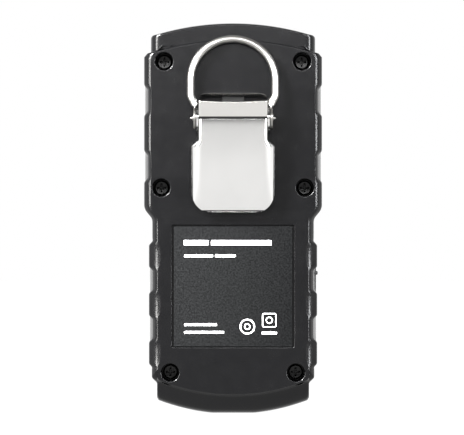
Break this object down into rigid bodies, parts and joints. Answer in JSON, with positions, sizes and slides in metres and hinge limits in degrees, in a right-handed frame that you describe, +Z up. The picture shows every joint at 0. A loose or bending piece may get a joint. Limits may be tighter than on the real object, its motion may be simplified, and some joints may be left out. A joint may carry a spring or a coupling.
{
  "type": "portable gas detector",
  "caption": "Hand-held gas detector with a screwed plastic case, sprung steel belt clip and D-ring on its back, sensor grille, display, keys and a rubber port cover.",
  "frame": {"origin": "centre of the standing foot: the middle of the bounding box's base", "axes": "+Z up the instrument's length, -Y out of its back (the clip side), +Y out of its display side, +X to the right as seen facing the back"},
  "size_m": [0.0674, 0.0478, 0.148],
  "materials": {
    "shell_plastic": "fine moulded texture, black",
    "soft_rubber": "matt black",
    "polished_steel": "polished stainless sheet and wire",
    "spring_steel": "plain drawn wire and plated metal",
    "black_screw": "black oxide",
    "label_film": "grained polyester film",
    "clear_pane": "glossy tinted pane",
    "screen": "dark display glass",
    "circuit_board": "green solder mask",
    "light_plastic": "moulded natural plastic",
    "filter_felt": "porous white membrane",
    "cell_wrap": "shrink wrap",
    "alarm_lens": "clear red moulding",
    "key_rubber": "silk grey"
  },
  "bodies": {
    "case": {"front_housing": "shell_plastic", "rear_housing": "shell_plastic", "housing_seal": "soft_rubber", "housing_screw_1": "black_screw", "housing_screw_2": "black_screw", "housing_screw_3": "black_screw", "housing_screw_4": "black_screw", "housing_screw_5": "black_screw", "housing_screw_6": "black_screw", "rear_label": "label_film", "clip_base": "polished_steel", "clip_pin": "polished_steel", "clip_spring": "spring_steel", "clip_screw_1": "polished_steel", "clip_screw_2": "polished_steel", "display_pane": "clear_pane", "display_module": "screen", "display_bracket": "light_plastic", "main_board": "circuit_board", "board_screw_1": "spring_steel", "board_screw_2": "spring_steel", "board_screw_3": "spring_steel", "board_screw_4": "spring_steel", "gas_sensor_1": "light_plastic", "gas_sensor_2": "light_plastic", "gas_sensor_3": "light_plastic", "gas_sensor_4": "light_plastic", "dust_filter_1": "filter_felt", "dust_filter_2": "filter_felt", "dust_filter_3": "filter_felt", "dust_filter_4": "filter_felt", "sensor_grille": "shell_plastic", "battery_pack": "cell_wrap", "battery_lead": "soft_rubber", "battery_plug": "light_plastic", "key_mat": "soft_rubber", "key_board": "circuit_board", "buzzer": "soft_rubber", "vibration_motor": "spring_steel", "usb_socket": "spring_steel", "alarm_light_left": "alarm_lens", "alarm_light_right": "alarm_lens"},
    "jaw": {"clip_jaw": "polished_steel"},
    "ring": {"d_ring": "polished_steel"},
    "left_key": {"key_left": "key_rubber"},
    "power_key": {"key_power": "key_rubber"},
    "right_key": {"key_right": "key_rubber"},
    "cover": {"port_cover": "soft_rubber"}
  },
  "joints": [
    {"name": "jaw_hinge", "type": "hinge", "parent": "case", "child": "jaw", "pos_m": [0, -0.0169, 0.1117], "axis": [-1, 0, 0], "range_deg": [0, 28], "stiffness_Nm_per_rad": 0.4, "springref_deg": -34.38},
    {"name": "ring_hinge", "type": "hinge", "parent": "case", "child": "ring", "pos_m": [0, -0.0169, 0.1117], "axis": [1, 0, 0], "range_deg": [0, 125]},
    {"name": "left_key_press", "type": "slide", "parent": "case", "child": "left_key", "axis": [0, -1, 0], "range_m": [0, 0.0008], "stiffness_N_per_m": 600, "springref_m": -0.001},
    {"name": "power_key_press", "type": "slide", "parent": "case", "child": "power_key", "axis": [0, -1, 0], "range_m": [0, 0.0008], "stiffness_N_per_m": 600, "springref_m": -0.001},
    {"name": "right_key_press", "type": "slide", "parent": "case", "child": "right_key", "axis": [0, -1, 0], "range_m": [0, 0.0008], "stiffness_N_per_m": 600, "springref_m": -0.001},
    {"name": "cover_hinge", "type": "hinge", "parent": "case", "child": "cover", "pos_m": [0.0316, 0.0136, 0.0392], "axis": [0, 1, 0], "range_deg": [0, 110]}
  ]
}
